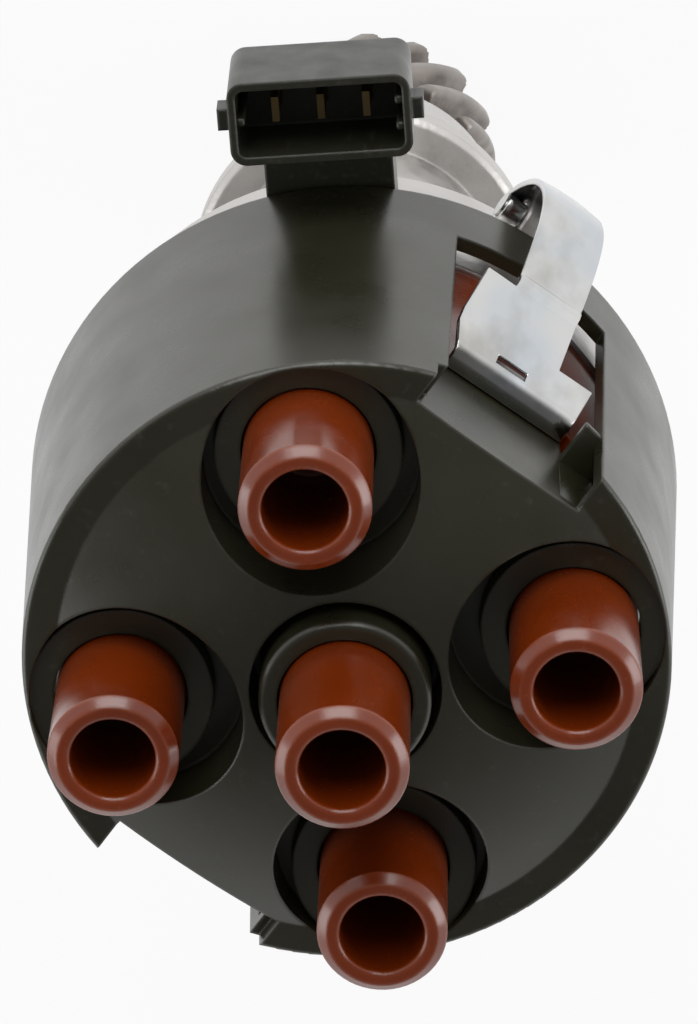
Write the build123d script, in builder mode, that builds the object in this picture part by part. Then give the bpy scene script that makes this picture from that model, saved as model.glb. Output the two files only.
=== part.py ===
from build123d import *
from math import cos, degrees, radians, sin, tan
import os

os.makedirs("parts", exist_ok=True)

# The distributor stands on its mounting flange: Z = 0 is the face that seats on the engine,
# the shaft runs along Z and the cap is at the top. Every size is in millimetres.

# Fits
running_gap = 0.06
slide_gap = 0.08
hand_gap = 0.25
edge_match = 0.01

# Housing
shaft_r = 6.0
bush_wall = 2.0
bush_len = 15.0
shank_r = 17.25
shank_len = 19.0
shank_chamfer = 1.2
flange_r = 21.35
flange_t = 4.4
flange_edge = 0.8
neck_r = 16.8
neck_len = 17.0
bowl_r = 32.6
bowl_wall = 3.0
bowl_floor_z = 64.0
bowl_floor_t = 3.2
bowl_depth = 22.0
bowl_corner = 2.4
boss_r = 12.5
boss_h = 2.0
seal_w = 3.0
seal_h = 5.0
oring_r = 1.3
oring_drop = 6.0
oring_below = 0.1
rib_t = 3.0
rib_out = 1.6
rib_reach = 10.7
rib_count = 3

# Cap
cap_height = 29.0
cap_step = 0.5
cap_draft = 1.3
cap_wall = 2.5
cap_deck_t = 6.9
cap_edge = 0.5
ledge_drop = 4.0
key_w = 5.0
key_h = 2.5
tower_bore_r = 4.45
tower_wall = 2.45
tower_base_extra = 2.7
tower_base_h = 6.15
outer_tower_h = 27.6
centre_tower_h = 38.7
outer_bore_depth = 20.6
centre_bore_depth = 22.7
tower_count = 4
tower_azimuth = 5.28
tip_chamfer = 1.0
mouth_round = 0.5
brush_boss_r = 5.2
brush_boss_h = 1.2

# Shield over the cap
shield_h = 49.5
shield_wall = 1.6
shield_edge = 0.6
dome_h = 7.2
dome_rim = 3.5
skirt_gap = 2.55
face_gap = 2.1
recess_floor_t = 1.6
recess_depth = 4.4
recess_extra = 4.6
recess_edge = 0.4
recess_shift = 1.8
collar_extra = 3.0
collar_below = 1.1
centre_recess_extra = 3.25
centre_collar_extra = 2.2
centre_collar_above = 9.4
collar_edge = 0.7

# Clip windows in the shield, radial and sideways from the middle of a clip
clip_count = 2
clip_azimuth = 50.28
chord_in = 1.9
chord_wall_h = 15.85
chord_wall_gap = 0.4
window_cw = 9.2
window_ccw = 10.6
chord_end_cw = 7.2
corner_step_w = 1.0
corner_step_h = 3.0
band_h = 9.8

# Spring clips
clip_aside = 0.7
strap_w = 8.0
strap_t = 0.8
head_w = 15.4
head_len = 6.5
lip_len = 1.9
lip_gap = 0.06
corner_out = 0.6
bend_drop = 13.3
bend_out = 1.3
bow_out = 6.0
bow_drop = 27.5
pivot_out = 2.7
pivot_up = 4.4
eye_start = -45
eye_turn = 270
pin_r = 1.5
hinge_lug_w = 3.0
hinge_lug_margin = 1.2
hinge_root_h = 8.0
slit_w = 4.0
slit_h = 1.2

# Connector
connector_azimuth = -90
shell_out = 11.4
shell_h = 9.4
shell_w = 20.0
shell_len = 13.2
shell_above_rear = 12.35
shell_wall = 0.9
shell_corner = 1.8
mouth_depth = 10.8
neck_w = 14.4
neck_rear_gap = 0.7
neck_h = 10.4
neck_nose = 1.4
neck_slope = 9.0
blade_pitch = 5.0
blade_t = 0.8
blade_w = 2.8
blade_len = 6.0
blade_foot = 2.8
blade_foot_up = 2.0
blade_count = 3
lug_w = 1.3
lug_h = 2.4
lug_len = 3.4
lug_drop = 2.2
carrier_lip_t = 1.2
carrier_lip_w = 1.9

# Trigger wheel and hall sensor
wheel_room = 9.6
wheel_t = 1.2
wheel_below_cover = 4.2
wheel_hub_r = 9.0
wheel_hub_h = 3.0
wheel_hub_below = 2.0
vane_gap = 1.3
vane_count = 4
vane_window_w = 11.0
collar_r = 8.5
sensor_gap = 1.3
sensor_block = 3.8
sensor_w = 12.0
sensor_base_t = 2.2
sensor_top_gap = 1.0
magnet_t = 1.6
magnet_w = 5.0
magnet_cover = 2.0
plate_t = 1.5
plate_gap = 2.3
plate_web = 9.5
plate_boss_h = 3.0
plate_boss_r = 3.4
screw_in = 7.6
screw_count = 3
screw_azimuth = 90
screw_r = 1.5
screw_head_r = 2.8
screw_head_h = 1.8
screw_len = 6.0
cover_t = 1.8
cover_seat = 1.1
cover_gap = 1.6
cover_rim_t = 1.2
cover_rim_h = 1.4

# Rotor and high-voltage contacts
rotor_hub_r = 9.0
rotor_arm_t = 6.0
rotor_tip_w = 7.0
rotor_tail = 8.0
rotor_tail_r = 5.0
shaft_in_arm = 1.0
flat_depth = 1.2
spark_gap = 0.7
electrode_r = 2.3
electrode_h = 8.2
strip_w = 5.0
strip_t = 1.0
strip_turn = 4.0
contact_pad_r = 3.2
contact_pad_h = 3.5
terminal_head_r = 3.4
terminal_head_h = 4.0
brush_r = 2.5
brush_len = 10.0
brush_reach = 2.1
brush_touch = 0.06
spring_wire_r = 0.3
spring_turns = 6

# Drive end
end_play = 0.12
washer_t = 0.8
washer_r = 11.0
gear_teeth = 15
gear_under_shank = 0.4
tooth_depth = 3.4
tooth_tip_w = 1.7
tooth_root_w = 4.3
gear_len = 17.5
gear_bevel = 1.0
helix_deg = 38.0
hub_len = 5.4
hub_r = 11.0
gear_pin_r = 1.75
shaft_tail = 2.5
tang_len = 6.0
tang_t = 4.6

# Levels
bowl_rim_z = bowl_floor_z + bowl_depth
bowl_base_z = bowl_floor_z - bowl_floor_t
boss_z = bowl_floor_z + boss_h
deck_z = bowl_rim_z + cap_height
ceiling_z = deck_z - cap_deck_t
ledge_z = deck_z - ledge_drop
shield_seat_z = deck_z + tower_base_h
recess_floor_z = shield_seat_z + recess_floor_t
face_z = recess_floor_z + recess_depth
crown_z = face_z + dome_h
centre_collar_z = face_z + centre_collar_above
rear_z = face_z - shield_h
outer_tip_z = deck_z + outer_tower_h
centre_tip_z = deck_z + centre_tower_h
outer_bore_z = outer_tip_z - outer_bore_depth
centre_bore_z = centre_tip_z - centre_bore_depth
chord_foot_z = face_z - chord_wall_h
window_z = rear_z + band_h
plate_z = bowl_floor_z + plate_boss_h
sensor_z = plate_z + plate_t
cover_z = bowl_rim_z - cover_t
wheel_z = cover_z - wheel_below_cover
vane_z = sensor_z + sensor_base_t + vane_gap
sensor_top_z = wheel_z - sensor_top_gap
washer_top_z = boss_z + washer_t
rotor_z = wheel_z + wheel_hub_h
brush_z = ceiling_z - brush_reach
arm_top_z = brush_z - contact_pad_h
arm_z = arm_top_z - rotor_arm_t
shaft_top_z = arm_z + shaft_in_arm
lower_washer_z = -shank_len - end_play - washer_t
gear_top_z = lower_washer_z - hub_len
gear_z = gear_top_z - gear_len
shaft_end_z = gear_z - shaft_tail
lip_z = ledge_z + lip_gap + strap_t / 2
pivot_z = bowl_floor_z + pivot_up
neck_top_z = rear_z - neck_rear_gap
neck_z = neck_top_z - neck_h
shell_top_z = rear_z + shell_above_rear
mouth_floor_z = shell_top_z - mouth_depth
blade_foot_z = sensor_z + blade_foot_up

# Radii
bush_r = shaft_r + bush_wall
bowl_inner_r = bowl_r - bowl_wall
cap_rim_r = bowl_r - cap_step
cap_top_r = cap_rim_r - cap_draft
face_r = cap_top_r + face_gap + shield_wall
dome_r = face_r - dome_rim
rear_r = bowl_r + skirt_gap + shield_wall
tower_r = tower_bore_r + tower_wall
tower_base_r = tower_r + tower_base_extra
recess_r = tower_r + recess_extra
recess_pcr = face_r - recess_edge - recess_r
tower_pcr = recess_pcr + recess_shift
tower_hole_r = tower_r + hand_gap
chord_r = cap_top_r - chord_in
cover_r = bowl_inner_r + cover_seat
electrode_face_r = tower_pcr - electrode_r
strip_tip_r = electrode_face_r - spark_gap
corner_r = cap_top_r + corner_out
bend_r = rear_r + bend_out
apex_r = rear_r + bow_out
pivot_r = bowl_r + pivot_out
eye_r = pin_r + running_gap + strap_t / 2
hinge_lug_r = pin_r + hinge_lug_margin
hinge_slot_w = hinge_lug_w + 2 * hand_gap
shell_r = bowl_r + shell_out + shell_h / 2
screw_pcr = bowl_inner_r - screw_in
plate_hole_r = screw_pcr - plate_web
wheel_r = bowl_inner_r - wheel_room
vane_in_r = wheel_r - wheel_t
sensor_in_r = vane_in_r - sensor_gap - sensor_block
sensor_mid_r = vane_in_r - sensor_gap
magnet_r = wheel_r + sensor_gap
sensor_out_r = magnet_r + sensor_block
gear_tip_r = shank_r - gear_under_shank
gear_root_r = gear_tip_r - tooth_depth

upward = (Align.CENTER, Align.CENTER, Align.MIN)


def post(radius, low, high, mode=Mode.ADD):
    """A round post from one level to another, at the current location."""
    with Locations((0, 0, low)):
        Cylinder(radius, high - low, align=upward, mode=mode)


def slab(near, far, right, left, low, high, mode=Mode.ADD):
    """A straight block: radial from near to far, sideways from right to left, low to high."""
    with Locations(((near + far) / 2, (right + left) / 2, low)):
        Box(far - near, left - right, high - low, align=upward, mode=mode)


def side_plane(azimuth, sideways=0.0):
    """A plane through the axis: its x runs outwards and its y runs up the part."""
    outward = Vector(cos(radians(azimuth)), sin(radians(azimuth)), 0)
    across = Vector(sin(radians(azimuth)), -cos(radians(azimuth)), 0)
    return Plane(origin=across * -sideways, x_dir=outward, z_dir=across)


def at_clips():
    return PolarLocations(0, clip_count, clip_azimuth)


def at_towers(radius):
    return PolarLocations(radius, tower_count, tower_azimuth)


def at_connector():
    return PolarLocations(0, 1, connector_azimuth)


clip_turns = [clip_azimuth + 360 / clip_count * turn for turn in range(clip_count)]
clip_planes = [side_plane(azimuth, clip_aside) for azimuth in clip_turns]


# Lead frame of the connector: flat blades that run in to the sensor
with BuildPart() as terminal_blades:
    for place in range(blade_count):
        aside = (place - (blade_count - 1) / 2) * blade_pitch
        with BuildSketch(side_plane(connector_azimuth, aside)):
            with BuildLine():
                Polyline(
                    (sensor_out_r, blade_foot_z),
                    (shell_r + blade_w / 2, blade_foot_z),
                    (shell_r + blade_w / 2, mouth_floor_z + blade_len),
                    (shell_r - blade_w / 2, mouth_floor_z + blade_len),
                    (shell_r - blade_w / 2, blade_foot_z + blade_foot),
                    (sensor_out_r, blade_foot_z + blade_foot),
                    close=True,
                )
            make_face()
        extrude(amount=blade_t / 2, both=True)
terminal_blades.part.label = "terminal_blades"
export_step(terminal_blades.part, "parts/terminal_blades.step")


# Cast housing: shank, flange, flared neck and bowl
with BuildPart() as housing:
    with BuildSketch(Plane.XZ):
        with BuildLine():
            foot = Polyline(
                (0, -shank_len),
                (shank_r - shank_chamfer, -shank_len),
                (shank_r, shank_chamfer - shank_len),
                (shank_r, 0),
                (flange_r, 0),
                (flange_r, flange_t),
                (neck_r, flange_t),
            )
            neck = Line(foot @ 1, (neck_r, flange_t + neck_len))
            flare = TangentArc(neck @ 1, (bowl_r, bowl_base_z), tangent=neck % 1)
            Polyline(flare @ 1, (bowl_r, bowl_rim_z), (0, bowl_rim_z), (0, -shank_len))
        make_face()
    revolve(axis=Axis.Z)
    base_ring = housing.edges().filter_by(GeomType.CIRCLE)
    base_ring = base_ring.filter_by(lambda edge: abs(edge.radius - bowl_r) < edge_match)
    fillet(base_ring.sort_by(Axis.Z)[0], bowl_corner)
    rims = housing.edges().filter_by(GeomType.CIRCLE)
    rims = rims.filter_by(lambda edge: abs(edge.radius - flange_r) < edge_match)
    chamfer(rims, flange_edge)
    for rib in range(rib_count):
        with BuildSketch(side_plane(90 * rib)):
            with BuildLine():
                Polyline(
                    (neck_r - rib_t, flange_t),
                    (neck_r + rib_out, flange_t),
                    (neck_r + rib_out, flange_t + neck_len - bowl_corner),
                    (neck_r + rib_reach, bowl_base_z - bowl_corner),
                    (neck_r, bowl_base_z - bowl_corner),
                    close=True,
                )
            make_face()
        extrude(amount=rib_t / 2, both=True)
    for plane in clip_planes:
        with BuildSketch(plane):
            with Locations((pivot_r, pivot_z)):
                Circle(hinge_lug_r)
            with Locations((bowl_r - bowl_wall / 2, pivot_z)):
                Rectangle(bowl_wall / 2, hinge_root_h)
            make_hull()
            with Locations((pivot_r, pivot_z)):
                Circle(pin_r, mode=Mode.SUBTRACT)
        extrude(amount=hinge_lug_w / 2, both=True)
    post(bowl_inner_r, bowl_floor_z, bowl_rim_z, Mode.SUBTRACT)
    post(cover_r, cover_z, bowl_rim_z, Mode.SUBTRACT)
    post(boss_r, bowl_floor_z, boss_z)
    post(bush_r, -shank_len, boss_z, Mode.SUBTRACT)
    post(shaft_r + seal_w, boss_z - seal_h, boss_z, Mode.SUBTRACT)
    with PolarLocations(screw_pcr, screw_count, screw_azimuth):
        post(plate_boss_r, bowl_floor_z, plate_z)
        post(screw_r, plate_z + plate_t - screw_len, plate_z, Mode.SUBTRACT)
    with at_connector():
        slab(
            bowl_inner_r - bowl_wall,
            bowl_r + bowl_wall,
            -neck_w / 2,
            neck_w / 2,
            neck_z,
            bowl_rim_z,
            Mode.SUBTRACT,
        )
    with PolarLocations(0, 1, -connector_azimuth):
        slab(
            cover_r,
            bowl_r + bowl_wall,
            -key_w / 2 - hand_gap,
            key_w / 2 + hand_gap,
            bowl_rim_z - key_h - hand_gap,
            bowl_rim_z,
            Mode.SUBTRACT,
        )
    with BuildSketch(Plane.XZ):
        with Locations((shank_r, -oring_drop)):
            Rectangle(2 * (oring_below + 2 * oring_r), 2 * oring_r + hand_gap)
    revolve(axis=Axis.Z, mode=Mode.SUBTRACT)
housing.part.label = "housing"
export_step(housing.part, "parts/housing.step")


with BuildPart() as shank_seal:
    with BuildSketch(Plane.XZ):
        with Locations((shank_r - oring_below - oring_r, -oring_drop)):
            Circle(oring_r)
    revolve(axis=Axis.Z)
shank_seal.part.label = "shank_seal"
export_step(shank_seal.part, "parts/shank_seal.step")


with BuildPart() as lower_bush:
    post(bush_r, -shank_len, bush_len - shank_len)
    post(shaft_r + running_gap, -shank_len, bush_len - shank_len, Mode.SUBTRACT)
lower_bush.part.label = "lower_bush"
export_step(lower_bush.part, "parts/lower_bush.step")


with BuildPart() as upper_bush:
    post(bush_r, boss_z - seal_h - bush_len, boss_z - seal_h)
    post(shaft_r + running_gap, boss_z - seal_h - bush_len, boss_z - seal_h, Mode.SUBTRACT)
upper_bush.part.label = "upper_bush"
export_step(upper_bush.part, "parts/upper_bush.step")


# Oil seal over the upper bush, with a thin lip around the shaft
with BuildPart() as shaft_seal:
    with BuildSketch(Plane.XZ):
        with BuildLine():
            Polyline(
                (shaft_r + running_gap, boss_z - seal_h / 2),
                (shaft_r + seal_w / 2, boss_z - 0.15 * seal_h),
                (shaft_r + seal_w / 2, boss_z),
                (shaft_r + seal_w, boss_z),
                (shaft_r + seal_w, boss_z - seal_h),
                (shaft_r + seal_w / 3, boss_z - seal_h),
                close=True,
            )
        make_face()
    revolve(axis=Axis.Z)
shaft_seal.part.label = "shaft_seal"
export_step(shaft_seal.part, "parts/shaft_seal.step")


with BuildPart() as upper_washer:
    post(washer_r, boss_z, washer_top_z)
    post(shaft_r + hand_gap, boss_z, washer_top_z, Mode.SUBTRACT)
upper_washer.part.label = "upper_washer"
export_step(upper_washer.part, "parts/upper_washer.step")


with BuildPart() as lower_washer:
    post(washer_r, lower_washer_z, lower_washer_z + washer_t)
    post(shaft_r, lower_washer_z, lower_washer_z + washer_t, Mode.SUBTRACT)
lower_washer.part.label = "lower_washer"
export_step(lower_washer.part, "parts/lower_washer.step")


# Shaft: drive tang, long journal, shoulder under the trigger wheel and a flat for the rotor
with BuildPart() as drive_shaft:
    post(shaft_r, shaft_end_z - tang_len, shaft_top_z)
    post(collar_r, washer_top_z + end_play, wheel_z - wheel_hub_below)
    with PolarLocations(0, 2):
        slab(
            -2 * shaft_r,
            2 * shaft_r,
            tang_t / 2,
            2 * shaft_r,
            shaft_end_z - tang_len,
            shaft_end_z,
            Mode.SUBTRACT,
        )
    slab(
        shaft_r - flat_depth,
        2 * shaft_r,
        -shaft_r,
        shaft_r,
        rotor_z + flat_depth,
        shaft_top_z,
        Mode.SUBTRACT,
    )
    with BuildSketch(Plane.YZ):
        with Locations((0, (lower_washer_z + gear_top_z) / 2)):
            Circle(gear_pin_r)
    extrude(amount=2 * shaft_r, both=True, mode=Mode.SUBTRACT)
drive_shaft.part.label = "drive_shaft"
export_step(drive_shaft.part, "parts/drive_shaft.step")


# Helical drive gear with its pinned hub
with BuildSketch() as tooth:
    with BuildLine():
        Polyline(
            (gear_root_r - tooth_depth / 2, -tooth_root_w / 2),
            (gear_tip_r - tooth_depth / 5, -tooth_tip_w / 2 - tooth_depth / 10),
            (gear_tip_r, -tooth_tip_w / 2),
            (gear_tip_r, tooth_tip_w / 2),
            (gear_tip_r - tooth_depth / 5, tooth_tip_w / 2 + tooth_depth / 10),
            (gear_root_r - tooth_depth / 2, tooth_root_w / 2),
            close=True,
        )
    make_face()

with BuildSketch() as tooth_outline:
    Circle(gear_root_r)
    with PolarLocations(0, gear_teeth):
        add(tooth.sketch)

gear_twist = degrees(gear_len * tan(radians(helix_deg)) / gear_tip_r)
toothed = Solid.extrude_linear_with_rotation(
    tooth_outline.sketch.face(), center=(0, 0, 0), normal=(0, 0, gear_len), angle=gear_twist
)

with BuildPart() as drive_gear:
    with Locations((0, 0, gear_z)):
        add(toothed)
    with BuildSketch(Plane.XZ):
        with BuildLine():
            Polyline(
                (0, gear_z),
                (gear_tip_r - gear_bevel, gear_z),
                (gear_tip_r + gear_bevel, gear_z + 2 * gear_bevel),
                (gear_tip_r + gear_bevel, gear_top_z - 2 * gear_bevel),
                (gear_tip_r - gear_bevel, gear_top_z),
                (0, gear_top_z),
                close=True,
            )
        make_face()
    revolve(axis=Axis.Z, mode=Mode.INTERSECT)
    post(hub_r, gear_top_z, lower_washer_z)
    post(shaft_r, gear_z, lower_washer_z, Mode.SUBTRACT)
    with BuildSketch(Plane.YZ):
        with Locations((0, (lower_washer_z + gear_top_z) / 2)):
            Circle(gear_pin_r)
    extrude(amount=2 * hub_r, both=True, mode=Mode.SUBTRACT)
drive_gear.part.label = "drive_gear"
export_step(drive_gear.part, "parts/drive_gear.step")


with BuildPart() as gear_pin:
    with BuildSketch(Plane.YZ):
        with Locations((0, (lower_washer_z + gear_top_z) / 2)):
            Circle(gear_pin_r)
    extrude(amount=hub_r - hand_gap, both=True)
gear_pin.part.label = "gear_pin"
export_step(gear_pin.part, "parts/gear_pin.step")


# Trigger wheel: a pressed steel cup whose vanes pass through the sensor
with BuildPart() as trigger_wheel:
    post(wheel_r, vane_z, wheel_z + wheel_t)
    post(vane_in_r, vane_z, wheel_z, Mode.SUBTRACT)
    with PolarLocations(0, vane_count):
        slab(
            vane_in_r - wheel_t,
            wheel_r + wheel_t,
            -vane_window_w / 2,
            vane_window_w / 2,
            vane_z,
            wheel_z - wheel_t,
            Mode.SUBTRACT,
        )
    post(wheel_hub_r, wheel_z - wheel_hub_below, rotor_z)
    post(shaft_r, wheel_z - wheel_hub_below, rotor_z, Mode.SUBTRACT)
trigger_wheel.part.label = "trigger_wheel"
export_step(trigger_wheel.part, "parts/trigger_wheel.step")


with BuildPart() as base_plate:
    post(bowl_inner_r - plate_gap, plate_z, sensor_z)
    post(plate_hole_r, plate_z, sensor_z, Mode.SUBTRACT)
    with PolarLocations(screw_pcr, screw_count, screw_azimuth):
        post(screw_r + running_gap, plate_z, sensor_z, Mode.SUBTRACT)
base_plate.part.label = "base_plate"
export_step(base_plate.part, "parts/base_plate.step")


with BuildPart() as plate_screws:
    with PolarLocations(screw_pcr, screw_count, screw_azimuth):
        post(screw_r, sensor_z - screw_len, sensor_z)
        post(screw_head_r, sensor_z, sensor_z + screw_head_h)
        slab(
            -screw_head_r,
            screw_head_r,
            -screw_r / 4,
            screw_r / 4,
            sensor_z + screw_head_h / 2,
            sensor_z + screw_head_h,
            Mode.SUBTRACT,
        )
plate_screws.part.label = "plate_screws"
export_step(plate_screws.part, "parts/plate_screws.step")


with BuildPart() as hall_magnet:
    with at_connector():
        slab(
            magnet_r,
            magnet_r + magnet_t,
            -magnet_w / 2,
            magnet_w / 2,
            vane_z,
            sensor_top_z - magnet_cover,
        )
hall_magnet.part.label = "hall_magnet"
export_step(hall_magnet.part, "parts/hall_magnet.step")


# Hall sensor: a fork that holds the chip inside the vanes and the magnet outside them
with BuildPart() as hall_sensor:
    with at_connector():
        slab(sensor_in_r, sensor_out_r, -sensor_w / 2, sensor_w / 2, sensor_z, sensor_top_z)
        slab(
            sensor_mid_r,
            magnet_r,
            -sensor_w,
            sensor_w,
            sensor_z + sensor_base_t,
            wheel_z,
            Mode.SUBTRACT,
        )
    add(hall_magnet.part, mode=Mode.SUBTRACT)
hall_sensor.part.label = "hall_sensor"
export_step(hall_sensor.part, "parts/hall_sensor.step")


# Dust cover over the sensor, held in the bowl's rebate by the cap
with BuildPart() as dust_cover:
    post(cover_r, cover_z, bowl_rim_z)
    post(rotor_hub_r + cover_gap + cover_rim_t, bowl_rim_z, bowl_rim_z + cover_rim_h)
    post(rotor_hub_r + cover_gap, cover_z, bowl_rim_z + cover_rim_h, Mode.SUBTRACT)
dust_cover.part.label = "dust_cover"
export_step(dust_cover.part, "parts/dust_cover.step")


# Connector housing: rounded shell, neck under the shield's rim and a carrier in the bowl wall
with BuildPart() as connector_socket:
    for inner, outer, spare, top in (
        (bowl_inner_r, bowl_r, 0, bowl_rim_z),
        (bowl_inner_r - carrier_lip_t, bowl_inner_r, carrier_lip_w, cover_z),
    ):
        with BuildSketch(Plane.XY.offset(neck_z)):
            Circle(outer)
            Circle(inner, mode=Mode.SUBTRACT)
            with at_connector():
                with Locations((bowl_r, 0)):
                    Rectangle(bowl_r, neck_w + 2 * spare, mode=Mode.INTERSECT)
        extrude(amount=top - neck_z)
    with BuildSketch(side_plane(connector_azimuth)):
        with BuildLine():
            Polyline(
                (bowl_r - carrier_lip_t / 2, neck_z),
                (shell_r + shell_h / 2 - neck_nose - neck_slope, neck_z),
                (shell_r + shell_h / 2 - neck_nose, shell_top_z - shell_len - neck_slope / 3),
                (shell_r + shell_h / 2 - neck_nose, mouth_floor_z - shell_wall),
                (shell_r, mouth_floor_z - shell_wall),
                (shell_r, neck_top_z),
                (bowl_r - carrier_lip_t / 2, neck_top_z),
                close=True,
            )
        make_face()
    extrude(amount=neck_w / 2, both=True)
    with BuildSketch(Plane.XY.offset(shell_top_z - shell_len)):
        with at_connector():
            with Locations((shell_r, 0)):
                RectangleRounded(shell_h, shell_w, shell_corner)
    extrude(amount=shell_len)
    with BuildSketch(Plane.XY.offset(mouth_floor_z)):
        with at_connector():
            with Locations((shell_r, 0)):
                RectangleRounded(
                    shell_h - 2 * shell_wall, shell_w - 2 * shell_wall, shell_corner - shell_wall
                )
    extrude(amount=mouth_depth, mode=Mode.SUBTRACT)
    with at_connector():
        for side in (-1, 1):
            inner, outer = sorted((side * (shell_w - shell_wall) / 2, side * (shell_w / 2 + lug_w)))
            slab(
                shell_r - lug_h / 2,
                shell_r + lug_h / 2,
                inner,
                outer,
                shell_top_z - lug_drop - lug_len,
                shell_top_z - lug_drop,
            )
    post(cover_r, cover_z, bowl_rim_z, Mode.SUBTRACT)
    add(terminal_blades.part, mode=Mode.SUBTRACT)
connector_socket.part.label = "connector_socket"
export_step(connector_socket.part, "parts/connector_socket.step")


# High-voltage terminals, flush with the floors of the tower bores
with BuildPart() as outer_terminals:
    with at_towers(tower_pcr):
        post(electrode_r, ceiling_z - electrode_h, outer_bore_z - terminal_head_h)
        post(terminal_head_r, outer_bore_z - terminal_head_h, outer_bore_z)
outer_terminals.part.label = "outer_terminals"
export_step(outer_terminals.part, "parts/outer_terminals.step")


with BuildPart() as centre_terminal:
    post(terminal_head_r, centre_bore_z - terminal_head_h, centre_bore_z)
centre_terminal.part.label = "centre_terminal"
export_step(centre_terminal.part, "parts/centre_terminal.step")


# Distributor cap with its five towers
with BuildPart() as distributor_cap:
    with BuildSketch(Plane.XZ):
        with BuildLine():
            Polyline(
                (0, bowl_rim_z),
                (cap_rim_r, bowl_rim_z),
                (cap_top_r, deck_z),
                (0, deck_z),
                close=True,
            )
        make_face()
    revolve(axis=Axis.Z)
    fillet(distributor_cap.edges().filter_by(GeomType.CIRCLE).sort_by(Axis.Z)[-1], cap_edge)
    with BuildSketch(Plane.XY.offset(deck_z - cap_edge)):
        with at_towers(tower_pcr):
            Circle(tower_base_r)
        Circle(cap_top_r - cap_edge, mode=Mode.INTERSECT)
        Circle(tower_base_r)
    extrude(amount=shield_seat_z - deck_z + cap_edge)
    with at_towers(tower_pcr):
        post(tower_r, bowl_rim_z + key_w, outer_tip_z)
    post(tower_r, deck_z - cap_edge, centre_tip_z)
    tips = distributor_cap.edges().filter_by(GeomType.CIRCLE)
    tips = tips.filter_by(lambda edge: edge.center().Z > outer_tip_z - edge_match)
    chamfer(tips, tip_chamfer)
    with BuildSketch(Plane.XZ):
        with BuildLine():
            Polyline(
                (0, bowl_rim_z),
                (cap_rim_r - cap_wall, bowl_rim_z),
                (cap_top_r - cap_wall, ceiling_z),
                (0, ceiling_z),
                close=True,
            )
        make_face()
    revolve(axis=Axis.Z, mode=Mode.SUBTRACT)
    post(brush_boss_r, ceiling_z - brush_boss_h, ceiling_z)
    post(brush_r + slide_gap, ceiling_z - brush_boss_h, centre_bore_z, Mode.SUBTRACT)
    post(terminal_head_r, centre_bore_z - terminal_head_h, centre_bore_z, Mode.SUBTRACT)
    post(tower_bore_r, centre_bore_z, centre_tip_z, Mode.SUBTRACT)
    with at_towers(tower_pcr):
        post(electrode_r, ceiling_z, outer_bore_z, Mode.SUBTRACT)
        post(terminal_head_r, outer_bore_z - terminal_head_h, outer_bore_z, Mode.SUBTRACT)
        post(tower_bore_r, outer_bore_z, outer_tip_z, Mode.SUBTRACT)
    mouths = distributor_cap.edges().filter_by(GeomType.CIRCLE)
    mouths = mouths.filter_by(lambda edge: edge.center().Z > outer_tip_z - edge_match)
    mouths = mouths.filter_by(lambda edge: abs(edge.radius - tower_bore_r) < edge_match)
    fillet(mouths, mouth_round)
    with at_clips():
        slab(
            chord_r - shield_wall - chord_wall_gap,
            cap_rim_r,
            -window_cw,
            window_ccw + corner_step_w + shield_wall + chord_wall_gap,
            ledge_z,
            crown_z,
            Mode.SUBTRACT,
        )
    with PolarLocations(0, 1, -connector_azimuth):
        slab(
            cover_r + hand_gap,
            cap_rim_r,
            -key_w / 2,
            key_w / 2,
            bowl_rim_z - key_h,
            bowl_rim_z,
        )
distributor_cap.part.label = "distributor_cap"
export_step(distributor_cap.part, "parts/distributor_cap.step")


# Room under the shield's skin, less what stands in it
with BuildPart() as shield_room:
    with BuildSketch(Plane.XZ):
        with BuildLine():
            Polyline(
                (0, crown_z - shield_wall),
                (0, rear_z),
                (rear_r - shield_wall, rear_z),
                (face_r - shield_wall, face_z - shield_wall),
                (dome_r, face_z - shield_wall),
            )
            TangentArc((0, crown_z - shield_wall), (dome_r, face_z - shield_wall), tangent=(1, 0))
        make_face()
    revolve(axis=Axis.Z)
    with at_towers(recess_pcr):
        post(recess_r + shield_wall, shield_seat_z, crown_z, Mode.SUBTRACT)
    post(tower_r + centre_recess_extra + shield_wall, shield_seat_z, crown_z, Mode.SUBTRACT)
    with at_clips():
        slab(
            chord_r - shield_wall,
            chord_r,
            -chord_end_cw,
            window_ccw + corner_step_w + shield_wall,
            chord_foot_z,
            crown_z,
            Mode.SUBTRACT,
        )
        slab(
            chord_r - shield_wall,
            rear_r,
            window_ccw,
            window_ccw + corner_step_w + shield_wall,
            face_z - corner_step_h - shield_wall,
            crown_z,
            Mode.SUBTRACT,
        )


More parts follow.
